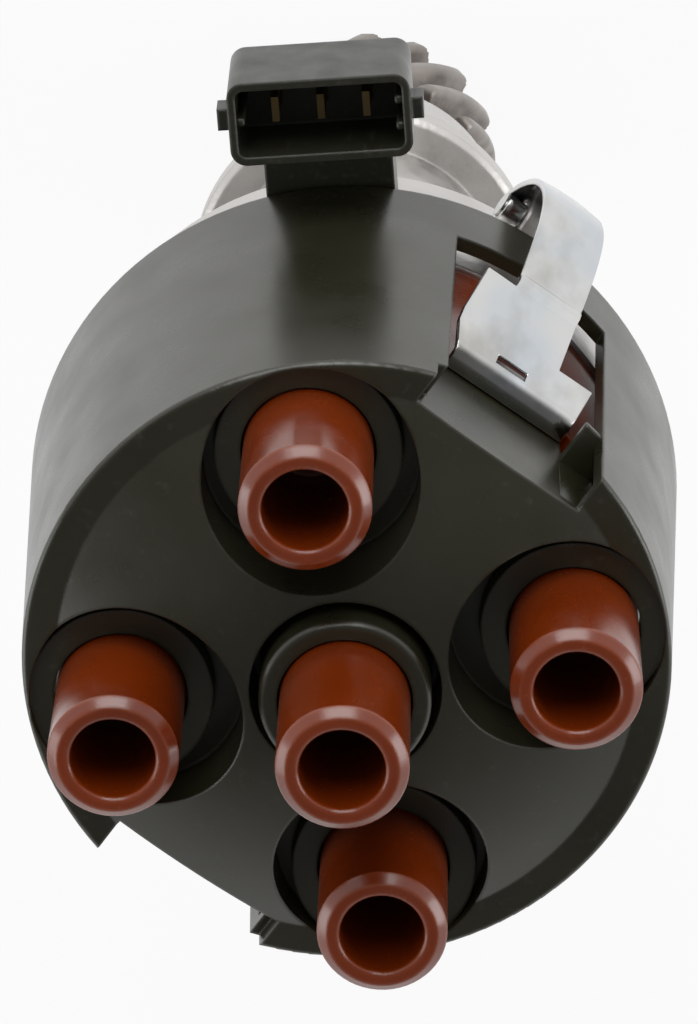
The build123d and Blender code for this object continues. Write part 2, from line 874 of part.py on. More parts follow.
# Shield: a moulded cup with a domed face, sunk rings around the towers and windows for the clips
with BuildPart() as dust_shield:
    with BuildSketch(Plane.XZ):
        with BuildLine():
            Polyline(
                (0, crown_z),
                (0, rear_z),
                (rear_r, rear_z),
                (face_r, face_z),
                (dome_r, face_z),
            )
            TangentArc((0, crown_z), (dome_r, face_z), tangent=(1, 0))
        make_face()
    revolve(axis=Axis.Z)
    face_rim = dust_shield.edges().filter_by(GeomType.CIRCLE)
    face_rim = face_rim.filter_by(lambda edge: abs(edge.center().Z - face_z) < edge_match)
    fillet(face_rim.sort_by(SortBy.RADIUS)[-1], shield_edge)
    add(shield_room.part, mode=Mode.SUBTRACT)
    with at_towers(recess_pcr):
        post(recess_r, recess_floor_z, crown_z, Mode.SUBTRACT)
    post(tower_r + centre_recess_extra, recess_floor_z, crown_z, Mode.SUBTRACT)
    with at_towers(tower_pcr):
        post(tower_r + collar_extra, shield_seat_z, face_z - collar_below)
        post(tower_hole_r, shield_seat_z, crown_z, Mode.SUBTRACT)
    post(tower_r + centre_collar_extra, shield_seat_z, centre_collar_z)
    fillet(dust_shield.edges().filter_by(GeomType.CIRCLE).sort_by(Axis.Z)[-1], collar_edge)
    post(tower_hole_r, shield_seat_z, centre_collar_z, Mode.SUBTRACT)
    with at_clips():
        slab(chord_r, 2 * rear_r, -window_cw, window_ccw, window_z, crown_z, Mode.SUBTRACT)
        slab(
            chord_r,
            2 * rear_r,
            window_ccw,
            window_ccw + corner_step_w,
            face_z - corner_step_h,
            crown_z,
            Mode.SUBTRACT,
        )
dust_shield.part.label = "dust_shield"
export_step(dust_shield.part, "parts/dust_shield.step")


# Carbon brush and its spring, in the guide under the centre tower
with BuildPart() as carbon_brush:
    post(brush_r, brush_z, brush_z + brush_len)
    fillet(carbon_brush.edges().sort_by(Axis.Z)[0], brush_r / 4)
carbon_brush.part.label = "carbon_brush"
export_step(carbon_brush.part, "parts/carbon_brush.step")


spring_z = brush_z + brush_len + spring_wire_r
spring_len = centre_bore_z - terminal_head_h - spring_wire_r - spring_z
with BuildPart() as brush_spring:
    coil_r = brush_r - 2 * spring_wire_r
    with BuildLine(Plane.XY.offset(spring_z)) as coil:
        Helix(spring_len / spring_turns, spring_len, coil_r)
    with BuildSketch(Plane(coil.line @ 0, z_dir=coil.line % 0)):
        Circle(spring_wire_r)
    sweep(path=coil.line)
brush_spring.part.label = "brush_spring"
export_step(brush_spring.part, "parts/brush_spring.step")


# Rotor arm with its brass strip
with BuildPart() as rotor_arm:
    post(rotor_hub_r, rotor_z, arm_z)
    with BuildSketch(Plane.XY.offset(arm_z)):
        Circle(rotor_hub_r)
        with Locations((-rotor_tail, 0)):
            Circle(rotor_tail_r)
        with Locations((strip_tip_r - strip_t - rotor_tip_w / 2, 0)):
            Rectangle(rotor_tip_w, rotor_tip_w)
        make_hull()
    extrude(amount=rotor_arm_t)
    add(drive_shaft.part, mode=Mode.SUBTRACT)
rotor_arm.part.label = "rotor_arm"
export_step(rotor_arm.part, "parts/rotor_arm.step")


with BuildPart() as rotor_blade:
    slab(0, strip_tip_r, -strip_w / 2, strip_w / 2, arm_top_z, arm_top_z + strip_t)
    slab(
        strip_tip_r - strip_t,
        strip_tip_r,
        -strip_w / 2,
        strip_w / 2,
        arm_top_z - strip_turn,
        arm_top_z,
    )
    post(contact_pad_r, arm_top_z, brush_z - brush_touch)
rotor_blade.part.label = "rotor_blade"
export_step(rotor_blade.part, "parts/rotor_blade.step")


# Hinge pins of the clips
with BuildPart() as clip_pins:
    for plane in clip_planes:
        with BuildSketch(plane):
            with Locations((pivot_r, pivot_z)):
                Circle(pin_r)
        extrude(amount=strap_w / 2 + hand_gap, both=True)
clip_pins.part.label = "clip_pins"
export_step(clip_pins.part, "parts/clip_pins.step")


def spring_clip(plane):
    """A bowed strap with a wide head over the cap and two curls around its hinge pin."""
    pivot = Vector(pivot_r, pivot_z)
    tip = Vector(corner_r - lip_len, lip_z)
    corner = Vector(corner_r, lip_z)
    bend = Vector(bend_r, lip_z - bend_drop)
    head_end = corner + (bend - corner).normalized() * head_len
    slit = corner + (bend - corner).normalized() * (head_len / 2)
    with BuildPart() as clip:
        with BuildSketch(plane):
            with BuildLine():
                curl = CenterArc(pivot, eye_r, eye_start, -eye_turn)
                Polyline(tip, corner, bend)
                Spline(
                    bend,
                    (apex_r, lip_z - bow_drop),
                    curl @ 0,
                    tangents=(bend - corner, curl % 0),
                )
            trace(line_width=strap_t)
        extrude(amount=strap_w / 2, both=True)
        with BuildSketch(plane):
            with BuildLine():
                Polyline(tip, corner, head_end)
            trace(line_width=strap_t)
        extrude(amount=head_w / 2, both=True)
        with BuildSketch(plane):
            with Locations((slit.X, slit.Y)):
                Rectangle(4 * strap_t, slit_h)
        extrude(amount=slit_w / 2, both=True, mode=Mode.SUBTRACT)
        with BuildSketch(plane):
            with Locations((pivot_r, pivot_z)):
                Circle(hinge_lug_r + hand_gap)
        extrude(amount=hinge_slot_w / 2, both=True, mode=Mode.SUBTRACT)
    return clip


right_clip = spring_clip(clip_planes[0])
right_clip.part.label = "right_clip"
export_step(right_clip.part, "parts/right_clip.step")

left_clip = spring_clip(clip_planes[1])
left_clip.part.label = "left_clip"
export_step(left_clip.part, "parts/left_clip.step")
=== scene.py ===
import math

import bmesh
import bpy
from mathutils import Matrix, Vector


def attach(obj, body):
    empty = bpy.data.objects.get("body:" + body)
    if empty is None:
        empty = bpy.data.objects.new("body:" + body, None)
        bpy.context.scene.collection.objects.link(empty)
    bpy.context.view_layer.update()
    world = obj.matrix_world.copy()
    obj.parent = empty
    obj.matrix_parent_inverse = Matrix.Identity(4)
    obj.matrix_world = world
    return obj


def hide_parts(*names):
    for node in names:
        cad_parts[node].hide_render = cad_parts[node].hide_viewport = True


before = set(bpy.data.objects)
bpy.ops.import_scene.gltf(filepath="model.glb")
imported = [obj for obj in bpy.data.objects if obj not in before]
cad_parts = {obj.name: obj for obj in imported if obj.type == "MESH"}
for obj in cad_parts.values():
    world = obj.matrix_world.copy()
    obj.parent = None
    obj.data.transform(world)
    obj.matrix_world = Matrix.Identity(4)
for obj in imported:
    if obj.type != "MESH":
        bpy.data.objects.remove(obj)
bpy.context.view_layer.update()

MM = 0.001
CORNER_SIGNS = ((-1, -1), (1, -1), (1, 1), (-1, 1))

# Heights and bearings of the distributor, in millimetres and degrees
SHIELD_FACE_Z = 127.15
TANG_Z = -51.32
CONNECTOR_BEARING = -90.0
PHOTO_UP_BEARING = -96.5
CLIP_BEARING = 50.28
CLIP_SIDES = (("right", CLIP_BEARING), ("left", CLIP_BEARING + 180))

# Camera fitted to the photo, in degrees and millimetres; its distance is a choice
CAMERA_TILT = -22.24
CAMERA_ROLL = 2.54
CAMERA_STAND = (0.27, 16.4, 620)
CAMERA_LENS = 205.45
CAMERA_FILM = 36

# Strength of the world as it is seen, as light, and in reflections low down and overhead
SURROUND_SEEN = 1.0
SURROUND_LIGHT = 0.4
SURROUND_LOW = 1.0
SURROUND_OVERHEAD = 0.14
FADE_START = 0.2
FADE_END = 0.8

# Bench: the share of its own white glow, and half its width in metres
BENCH_GLOW = 0.88
BENCH_HALF = 4.0

# Path of a clip's strap in the plane of its clip: outwards and up
CLIP_ASIDE = -0.7
CLIP_TIP = Vector((29.1, 111.46))
CLIP_FOLD = Vector((31.4, 111.46))
CLIP_BEND = Vector((38.05, 98.16))
CLIP_APEX = Vector((42.75, 83.96))
CLIP_PIVOT = Vector((35.3, 68.4))
CLIP_CURL = 1.96
CURL_START = -45
CURL_SWEEP = 270
CURL_STEPS = 22
BOW_STEPS = 12

# Clip's sheet: thickness, edges, half width, and how far the bow and the bead are crowned
SHEET = 0.8
SHEET_EDGE = 0.16
STRAP_HALF = 4.0
BOW_CROWN = 0.3
BEAD_CROWN = 0.4

# Clip's head, down from its fold: the slit's end, the wings' rounds and feet, and the bead
SLIT_END = 2.3
LEFT_WING_ROUND = 3.6
RIGHT_WING_FOOT = 5.6
LEFT_WING_FOOT = 12.9
BEAD = (13.7, 14.3)
HEAD_HEIGHTS = (0.9, 1.1, SLIT_END, LEFT_WING_ROUND, 4.6, RIGHT_WING_FOOT, 7.6, 9.8, 12.2,
                LEFT_WING_FOOT, *BEAD, 14.87)
BELOW_HEAD = 20.0
WING_HALF = 7.7
LEFT_FLARE = 0.9
RIGHT_FLARE = 0.7

# Drive gear: radii and heights, a tooth's half width at each radius, and the hub's outline
GEAR_TEETH = 15
GEAR_TIP_R = 16.85
GEAR_FOOT_Z = -42.82
GEAR_TOP_Z = -25.32
GEAR_HELIX = 38.0
GEAR_STEPS = 18
TOOTH_DEPTH = 3.4
TOOTH_END_ROUND = 1.4
SHAFT_R = 6.0
TOOTH_FLANK = ((13.45, 2.45), (13.7, 2.2), (14.3, 1.88), (15.2, 1.52), (16.1, 1.2), (16.6, 0.96),
               (16.8, 0.72), (16.85, 0.36))
HUB_OUTLINE = ((6.0, -25.6), (11.6, -25.6), (11.35, -25.3), (10.95, -25.1), (10.74, -24.7),
               (10.7, -24.2), (10.7, -20.5), (10.2, -19.95), (6.0, -19.95))

# Pieces beside the clips' windows: plans as outwards and sideways of the clip, and heights
SHELF_PLAN = ((28.6, 6.9), (33.9, 6.9), (33.5, 9.3), (33.0, 11.3), (28.6, 11.3))
WALL_PLAN = ((27.7, 6.7), (28.9, 6.7), (28.9, 11.3), (27.7, 11.3))
WINDOW_FOOT_Z = 115.35
SHELF_TOP_Z = 116.4
WALL_TOP_Z = 126.7

# Keys in the connector's mouth: places as outwards and sideways, half sizes and heights
KEY_PLACES = ((47.2, 8.75), (50.2, 8.75), (48.7, -8.75))
KEY_HALF_OUT = 0.45
KEY_HALF_ASIDE = 0.5
KEY_FOOT_Z = 79.1
KEY_TOP_Z = 89.2

SLAB_EDGE = 0.2
SHARP_ANGLE = 38


def point_round(bearing, elevation, distance, height):
    """A point seen from the axis in that direction, in metres."""
    flat = distance * math.cos(math.radians(elevation))
    return Vector((
        flat * math.cos(math.radians(bearing)),
        flat * math.sin(math.radians(bearing)),
        height + distance * math.sin(math.radians(elevation)),
    ))


def add(name, data):
    """A new object in the scene."""
    made = bpy.data.objects.new(name, data)
    bpy.context.scene.collection.objects.link(made)
    return made


def look_down_on_cap():
    """The camera, tipped from the axis towards the connector."""
    tip = Matrix.Rotation(math.radians(PHOTO_UP_BEARING - 90), 4, "Z")
    tip = tip @ Matrix.Rotation(math.radians(CAMERA_TILT), 4, "X")
    tip = tip @ Matrix.Rotation(math.radians(CAMERA_ROLL), 4, "Z")
    stand = tip @ Vector([part * MM for part in CAMERA_STAND])
    stand = stand + Vector((0, 0, SHIELD_FACE_Z * MM))
    lens = bpy.data.cameras.new("cap_camera")
    lens.lens = CAMERA_LENS
    lens.sensor_width = CAMERA_FILM
    lens.clip_end = 10
    camera = add("cap_camera", lens)
    camera.matrix_world = Matrix.Translation(stand) @ tip
    bpy.context.scene.camera = camera


def softbox(name, bearing, elevation, distance, width, power):
    """A square lamp that faces the cap."""
    lamp = bpy.data.lights.new(name, "AREA")
    lamp.shape = "SQUARE"
    lamp.size = width
    lamp.energy = power
    stand = point_round(bearing, elevation, distance, SHIELD_FACE_Z * MM)
    aim = (Vector((0, 0, SHIELD_FACE_Z * MM)) - stand).to_track_quat("-Z", "Y")
    add(name, lamp).matrix_world = Matrix.Translation(stand) @ aim.to_matrix().to_4x4()


def light_the_studio():
    bpy.context.scene.view_settings.view_transform = "Standard"
    softbox("window_light", CONNECTOR_BEARING, 24, 1.3, 0.9, 9)
    softbox("clip_side_light", CONNECTOR_BEARING - 95, 14, 1.3, 0.7, 5)
    softbox("far_side_light", CONNECTOR_BEARING + 100, 16, 1.4, 0.8, 5)


def backdrop(net, strength):
    """A white background of that strength."""
    shader = net.nodes.new("ShaderNodeBackground")
    shader.inputs["Color"].default_value = (1, 1, 1, 1)
    shader.inputs["Strength"].default_value = strength
    return shader


def white_surround():
    """A world that is white to the eye, and in reflections white low down and dimmer overhead."""
    world = bpy.data.worlds.new("studio")
    bpy.context.scene.world = world
    world.use_nodes = True
    net = world.node_tree
    net.nodes.clear()
    seen = backdrop(net, SURROUND_SEEN)
    shed = backdrop(net, SURROUND_LIGHT)
    mirrored = backdrop(net, SURROUND_LOW)
    direction = net.nodes.new("ShaderNodeTexCoord")
    height = net.nodes.new("ShaderNodeSeparateXYZ")
    fade = net.nodes.new("ShaderNodeMapRange")
    fade.interpolation_type = "SMOOTHSTEP"
    fade.inputs["From Min"].default_value = FADE_START
    fade.inputs["From Max"].default_value = FADE_END
    fade.inputs["To Min"].default_value = SURROUND_LOW
    fade.inputs["To Max"].default_value = SURROUND_OVERHEAD
    net.links.new(direction.outputs["Generated"], height.inputs[0])
    net.links.new(height.outputs["Z"], fade.inputs["Value"])
    net.links.new(fade.outputs["Result"], mirrored.inputs["Strength"])
    rays = net.nodes.new("ShaderNodeLightPath")
    as_mirror = net.nodes.new("ShaderNodeMixShader")
    straight = net.nodes.new("ShaderNodeMath")
    straight.operation = "MAXIMUM"
    as_seen = net.nodes.new("ShaderNodeMixShader")
    out = net.nodes.new("ShaderNodeOutputWorld")
    net.links.new(rays.outputs["Is Glossy Ray"], as_mirror.inputs["Fac"])
    net.links.new(shed.outputs[0], as_mirror.inputs[1])
    net.links.new(mirrored.outputs[0], as_mirror.inputs[2])
    net.links.new(rays.outputs["Is Camera Ray"], straight.inputs[0])
    net.links.new(rays.outputs["Is Transmission Ray"], straight.inputs[1])
    net.links.new(straight.outputs[0], as_seen.inputs["Fac"])
    net.links.new(as_mirror.outputs[0], as_seen.inputs[1])
    net.links.new(seen.outputs[0], as_seen.inputs[2])
    net.links.new(as_seen.outputs[0], out.inputs["Surface"])


def bench_finish():
    """White bench top: it looks white and still takes a faint shadow."""
    bench = bpy.data.materials.new("white_bench")
    bench.use_nodes = True
    net = bench.node_tree
    net.nodes.clear()
    matt = net.nodes.new("ShaderNodeBsdfDiffuse")
    matt.inputs["Color"].default_value = (0.95, 0.95, 0.95, 1)
    glow = net.nodes.new("ShaderNodeEmission")
    glow.inputs["Strength"].default_value = 1.0
    rays = net.nodes.new("ShaderNodeLightPath")
    seen = net.nodes.new("ShaderNodeMath")
    seen.operation = "MAXIMUM"
    share = net.nodes.new("ShaderNodeMath")
    share.operation = "MULTIPLY"
    share.inputs[1].default_value = BENCH_GLOW
    blend = net.nodes.new("ShaderNodeMixShader")
    out = net.nodes.new("ShaderNodeOutputMaterial")
    net.links.new(rays.outputs["Is Camera Ray"], seen.inputs[0])
    net.links.new(rays.outputs["Is Glossy Ray"], seen.inputs[1])
    net.links.new(seen.outputs[0], share.inputs[0])
    net.links.new(share.outputs[0], blend.inputs["Fac"])
    net.links.new(matt.outputs[0], blend.inputs[1])
    net.links.new(glow.outputs[0], blend.inputs[2])
    net.links.new(blend.outputs[0], out.inputs["Surface"])
    return bench


def lay_the_bench():
    top = bpy.data.meshes.new("bench_top")
    low = TANG_Z * MM
    corners = [(x * BENCH_HALF, y * BENCH_HALF, low) for x, y in CORNER_SIGNS]
    top.from_pydata(corners, [], [(0, 1, 2, 3)])
    top.materials.append(bench_finish())
    bench = add("bench_top", top)


class Finish:
    """A material under construction, with short ways to add the nodes that it needs."""

    def __init__(self, name, colour, roughness, metal=0.0, specular=0.5):
        self.material = bpy.data.materials.new(name)
        self.material.use_nodes = True
        self.net = self.material.node_tree
        self.shader = self.net.nodes["Principled BSDF"]
        self.shader.inputs["Base Color"].default_value = (*colour, 1)
        self.shader.inputs["Roughness"].default_value = roughness
        self.shader.inputs["Metallic"].default_value = metal
        self.shader.inputs["Specular IOR Level"].default_value = specular
        self.place = self.net.nodes.new("ShaderNodeTexCoord").outputs["Object"]
        self.height = None

    def wire(self, start, end):
        self.net.links.new(start, end)

    def stretched(self, scale):
        """The place on the piece, scaled along each axis."""
        mapping = self.net.nodes.new("ShaderNodeMapping")
        mapping.inputs["Scale"].default_value = scale
        self.wire(self.place, mapping.inputs["Vector"])
        return mapping.outputs["Vector"]

    def noise(self, scale, detail=3.0, place=None):
        grain = self.net.nodes.new("ShaderNodeTexNoise")
        grain.inputs["Scale"].default_value = scale
        grain.inputs["Detail"].default_value = detail
        grain.inputs["Roughness"].default_value = 0.5
        self.wire(place or self.place, grain.inputs["Vector"])
        return grain.outputs["Fac"]

    def cells(self, scale):
        pores = self.net.nodes.new("ShaderNodeTexVoronoi")
        pores.inputs["Scale"].default_value = scale
        self.wire(self.place, pores.inputs["Vector"])
        return pores.outputs["Distance"]

    def span(self, value, low, high, new_low, new_high):
        """The value's stretch from low to high, brought to a new one and held there."""
        reach = self.net.nodes.new("ShaderNodeMapRange")
        reach.inputs["From Min"].default_value = low
        reach.inputs["From Max"].default_value = high
        reach.inputs["To Min"].default_value = new_low
        reach.inputs["To Max"].default_value = new_high
        self.wire(value, reach.inputs["Value"])
        return reach.outputs["Result"]

    def maths(self, kind, first, second):
        """Maths on two values, either of which may be a plain number."""
        step = self.net.nodes.new("ShaderNodeMath")
        step.operation = kind
        for given, socket in ((first, step.inputs[0]), (second, step.inputs[1])):
            if isinstance(given, (int, float)):
                socket.default_value = given
            else:
                self.wire(given, socket)
        return step.outputs[0]

    def axis(self, letter):
        parts = self.net.nodes.new("ShaderNodeSeparateXYZ")
        self.wire(self.place, parts.inputs[0])
        return parts.outputs[letter]

    def radius(self):
        """Distance from the shaft's axis."""
        across = self.axis("X")
        along = self.axis("Y")
        across = self.maths("MULTIPLY", across, across)
        along = self.maths("MULTIPLY", along, along)
        return self.maths("POWER", self.maths("ADD", across, along), 0.5)

    def ease(self, width):
        """Rounds the light on every sharp edge over that width, in metres."""
        soft = self.net.nodes.new("ShaderNodeBevel")
        soft.samples = 6
        soft.inputs["Radius"].default_value = width
        self.height = soft.outputs["Normal"]
        self.wire(self.height, self.shader.inputs["Normal"])
        return self.height

    def rubbed(self, width):
        """A mask that rises towards the edges, where hands and tools rub."""
        soft = self.ease(width)
        true = self.net.nodes.new("ShaderNodeNewGeometry").outputs["Normal"]
        turn = self.net.nodes.new("ShaderNodeVectorMath")
        turn.operation = "DISTANCE"
        self.wire(soft, turn.inputs[0])
        self.wire(true, turn.inputs[1])
        return self.span(turn.outputs["Value"], 0.05, 0.5, 0, 1)

    def tint(self, share, colour):
        """Mixes another colour over what the base colour is so far."""
        mix = self.net.nodes.new("ShaderNodeMix")
        mix.data_type = "RGBA"
        base = self.shader.inputs["Base Color"]
        if base.is_linked:
            self.wire(base.links[0].from_socket, mix.inputs[6])
        else:
            mix.inputs[6].default_value = base.default_value[:]
        mix.inputs[7].default_value = (*colour, 1)
        self.wire(share, mix.inputs[0])
        self.wire(mix.outputs[2], base)

    def rough(self, value):
        self.wire(value, self.shader.inputs["Roughness"])

    def bump(self, value, depth):
        """Adds a relief that deep, in metres, over those before it."""
        relief = self.net.nodes.new("ShaderNodeBump")
        relief.inputs["Distance"].default_value = depth
        relief.inputs["Strength"].default_value = 1.0
        self.wire(value, relief.inputs["Height"])
        if self.height:
            self.wire(self.height, relief.inputs["Normal"])
        self.height = relief.outputs["Normal"]
        self.wire(self.height, self.shader.inputs["Normal"])


def black_moulding():
    """Shield plastic: nearly black, satin, with flow clouds, dust and edges rubbed paler."""
    finish = Finish("black_moulding", (0.018, 0.0172, 0.0075), 0.3, specular=0.7)
    edge = finish.rubbed(0.0005)
    cloud = finish.noise(38, 4)
    finish.tint(finish.span(cloud, 0.42, 0.68, 0, 0.5), (0.03, 0.029, 0.018))
    dust = finish.noise(900, 2)
    finish.tint(finish.span(dust, 0.62, 0.8, 0, 0.3), (0.06, 0.058, 0.05))
    worn = finish.maths("MULTIPLY", edge, finish.span(finish.noise(240, 3), 0.4, 0.65, 0, 0.4))
    finish.tint(worn, (0.09, 0.088, 0.08))
    finish.rough(finish.span(finish.noise(120, 5), 0.3, 0.7, 0.25, 0.34))
    finish.bump(finish.noise(2600, 2), 0.000006)
    return finish.material


def red_resin():
    """Cap resin: brick red-brown thermoset with pale filler specks and darker clouds."""
    finish = Finish("red_resin", (0.19, 0.025, 0.0012), 0.2, specular=0.75)
    edge = finish.rubbed(0.0006)
    cloud = finish.noise(70, 4)
    finish.tint(finish.span(cloud, 0.4, 0.7, 0, 0.6), (0.125, 0.016, 0.0012))
    specks = finish.noise(1600, 2)
    finish.tint(finish.span(specks, 0.64, 0.8, 0, 0.35), (0.3, 0.075, 0.02))
    worn = finish.maths("MULTIPLY", edge, finish.span(finish.noise(300, 3), 0.3, 0.6, 0.2, 0.8))
    finish.tint(worn, (0.33, 0.085, 0.035))
    finish.rough(finish.span(finish.noise(220, 4), 0.3, 0.7, 0.17, 0.28))
    finish.bump(finish.noise(3000, 2), 0.000006)
    return finish.material


def zinc_steel():
    """Spring steel of the clips: zinc plate with a faint blue and straw bloom and dull smears."""
    finish = Finish("zinc_steel", (0.66, 0.66, 0.65), 0.18, 1.0)
    finish.ease(0.0002)
    finish.tint(finish.span(finish.noise(90, 2), 0.45, 0.7, 0, 0.7), (0.5, 0.56, 0.63))
    finish.tint(finish.span(finish.noise(55, 2), 0.55, 0.75, 0, 0.5), (0.7, 0.66, 0.54))
    smear = finish.noise(130, 4, finish.stretched((1, 1, 0.5)))
    finish.tint(finish.span(smear, 0.48, 0.68, 0, 0.6), (0.36, 0.35, 0.33))
    drawn = finish.noise(700, 3, finish.stretched((1, 1, 0.08)))
    finish.rough(finish.span(drawn, 0.3, 0.7, 0.12, 0.22))
    finish.bump(drawn, 0.000003)
    return finish.material


def cast_aluminium():
    """Housing: blasted casting above the flange, turned metal on the shank and flange face."""
    finish = Finish("cast_aluminium", (0.64, 0.62, 0.6), 0.36, 1.0)
    finish.ease(0.0007)
    turned = finish.span(finish.axis("Z"), 0.0002, 0.0, 0, 1)
    grain = finish.noise(1500, 4)
    finish.tint(finish.span(finish.noise(60, 4), 0.4, 0.75, 0, 0.5), (0.42, 0.4, 0.385))
    rings = finish.net.nodes.new("ShaderNodeTexWave")
    rings.bands_direction = "Z"
    rings.inputs["Scale"].default_value = 900
    finish.wire(finish.place, rings.inputs["Vector"])
    rough = finish.span(finish.noise(300, 4), 0.3, 0.7, 0.36, 0.52)
    finish.rough(finish.maths("SUBTRACT", rough, finish.maths("MULTIPLY", turned, 0.14)))
    cast = finish.maths("MULTIPLY", grain, finish.maths("SUBTRACT", 1, turned))
    finish.bump(cast, 0.00006)
    finish.bump(finish.maths("MULTIPLY", rings.outputs["Fac"], turned), 0.00001)
    return finish.material


def hardened_steel():
    """Gear: oiled dark steel, brighter where the teeth have run."""
    finish = Finish("hardened_steel", (0.27, 0.24, 0.22), 0.4, 0.8)
    finish.ease(0.0004)
    worn = finish.span(finish.radius(), 0.0158, 0.0168, 0, 0.7)
    finish.tint(finish.span(finish.noise(180, 4), 0.4, 0.7, 0, 0.8), (0.06, 0.045, 0.034))
    finish.tint(worn, (0.36, 0.335, 0.31))
    finish.rough(finish.span(finish.noise(400, 3), 0.3, 0.7, 0.32, 0.5))
    finish.bump(finish.noise(1500, 3), 0.00003)
    return finish.material


def ground_steel():
    """Shaft, pins and washers: ground bright, with fine rings."""
    finish = Finish("ground_steel", (0.55, 0.55, 0.54), 0.22, 1.0)
    rings = finish.noise(1400, 2, finish.stretched((0.05, 0.05, 1)))
    finish.tint(finish.span(finish.noise(80, 3), 0.45, 0.7, 0, 0.5), (0.42, 0.4, 0.37))
    finish.rough(finish.span(rings, 0.3, 0.7, 0.16, 0.3))
    finish.bump(rings, 0.000008)
    return finish.material


def bronze_bush():
    """Sintered bronze with open pores."""
    finish = Finish("bronze_bush", (0.48, 0.29, 0.13), 0.45, 1.0)
    pores = finish.cells(2200)
    finish.tint(finish.span(pores, 0.25, 0.1, 0, 0.9), (0.12, 0.07, 0.03))
    finish.rough(finish.span(finish.noise(300, 3), 0.3, 0.7, 0.38, 0.55))
    finish.bump(pores, 0.00003)
    return finish.material


def seal_rubber():
    finish = Finish("seal_rubber", (0.012, 0.012, 0.012), 0.55)
    finish.tint(finish.span(finish.noise(500, 3), 0.5, 0.75, 0, 0.5), (0.035, 0.033, 0.03))
    finish.rough(finish.span(finish.noise(200, 3), 0.3, 0.7, 0.48, 0.66))
    finish.bump(finish.noise(2200, 2), 0.00003)
    return finish.material


def charcoal_nylon():
    """Connector: glass-filled nylon, a little greyer and duller than the shield."""
    finish = Finish("charcoal_nylon", (0.02, 0.02, 0.0125), 0.36)
    edge = finish.rubbed(0.0005)
    finish.tint(finish.maths("MULTIPLY", edge, 0.25), (0.08, 0.078, 0.07))
    fibres = finish.noise(1200, 3, finish.stretched((1, 1, 0.3)))
    finish.tint(finish.span(fibres, 0.56, 0.78, 0, 0.45), (0.07, 0.068, 0.06))
    finish.tint(finish.span(finish.noise(70, 3), 0.45, 0.7, 0, 0.4), (0.035, 0.034, 0.028))
    finish.rough(finish.span(finish.noise(260, 4), 0.3, 0.7, 0.28, 0.42))
    finish.bump(fibres, 0.000012)
    return finish.material


def brass_darkened_as_painted_shade():
    """Contacts deep in the towers: brass coloured dark brown as painted shade for the depth of the
    bores.
    """
    finish = Finish("brass_darkened_as_painted_shade", (0.085, 0.04, 0.018), 0.45, 1.0)
    finish.tint(finish.span(finish.noise(300, 4), 0.4, 0.7, 0, 0.8), (0.03, 0.014, 0.008))
    finish.rough(finish.span(finish.noise(500, 3), 0.3, 0.7, 0.36, 0.6))
    finish.bump(finish.noise(1500, 2), 0.00001)
    return finish.material


def dull_brass():
    finish = Finish("dull_brass", (0.24, 0.17, 0.08), 0.35, 1.0)
    finish.tint(finish.span(finish.noise(160, 4), 0.45, 0.7, 0, 0.7), (0.12, 0.085, 0.045))
    finish.rough(finish.span(finish.noise(500, 3), 0.3, 0.7, 0.26, 0.46))
    finish.bump(finish.noise(2000, 2), 0.00001)
    return finish.material


def pressed_steel():
    """Trigger wheel and base plate: dull plated sheet with fine scratches."""
    finish = Finish("pressed_steel", (0.5, 0.49, 0.46), 0.38, 1.0)
    scratch = finish.noise(900, 3, finish.stretched((1, 0.06, 0.3)))
    finish.tint(finish.span(finish.noise(90, 3), 0.45, 0.7, 0, 0.6), (0.38, 0.36, 0.31))
    finish.rough(finish.span(scratch, 0.3, 0.7, 0.3, 0.46))
    finish.bump(scratch, 0.00001)
    return finish.material


def sensor_resin():
    finish = Finish("sensor_resin", (0.03, 0.032, 0.034), 0.5)
    finish.tint(finish.span(finish.noise(800, 3), 0.55, 0.75, 0, 0.5), (0.06, 0.06, 0.06))
    finish.rough(finish.span(finish.noise(300, 3), 0.3, 0.7, 0.42, 0.6))
    finish.bump(finish.noise(1800, 2), 0.00002)
    return finish.material


def cover_plastic():
    """Dust cover: mid-grey moulding."""
    finish = Finish("cover_plastic", (0.09, 0.09, 0.085), 0.4)
    finish.tint(finish.span(finish.noise(90, 3), 0.45, 0.7, 0, 0.4), (0.13, 0.13, 0.12))
    finish.rough(finish.span(finish.noise(250, 3), 0.3, 0.7, 0.34, 0.48))
    finish.bump(finish.noise(1800, 2), 0.00002)
    return finish.material


def rotor_resin():
    """Rotor arm: the same family of thermoset as the cap, a shade darker."""
    finish = Finish("rotor_resin", (0.13, 0.02, 0.009), 0.38)
    finish.tint(finish.span(finish.noise(900, 3), 0.6, 0.8, 0, 0.4), (0.24, 0.07, 0.04))
    finish.rough(finish.span(finish.noise(220, 4), 0.3, 0.7, 0.3, 0.46))
    finish.bump(finish.noise(2400, 2), 0.00002)
    return finish.material


def brush_carbon():
    finish = Finish("brush_carbon", (0.02, 0.02, 0.021), 0.6, 0.2)
    finish.tint(finish.span(finish.noise(1500, 2), 0.6, 0.8, 0, 0.6), (0.08, 0.08, 0.085))
    finish.rough(finish.span(finish.noise(600, 3), 0.3, 0.7, 0.5, 0.7))
    finish.bump(finish.noise(2600, 2), 0.00003)
    return finish.material


def magnet_ferrite():
    finish = Finish("magnet_ferrite", (0.05, 0.048, 0.046), 0.45, 0.3)
    finish.tint(finish.span(finish.noise(900, 3), 0.55, 0.8, 0, 0.5), (0.1, 0.095, 0.09))
    finish.rough(finish.span(finish.noise(400, 3), 0.3, 0.7, 0.38, 0.55))
    finish.bump(finish.noise(2200, 2), 0.00002)
    return finish.material


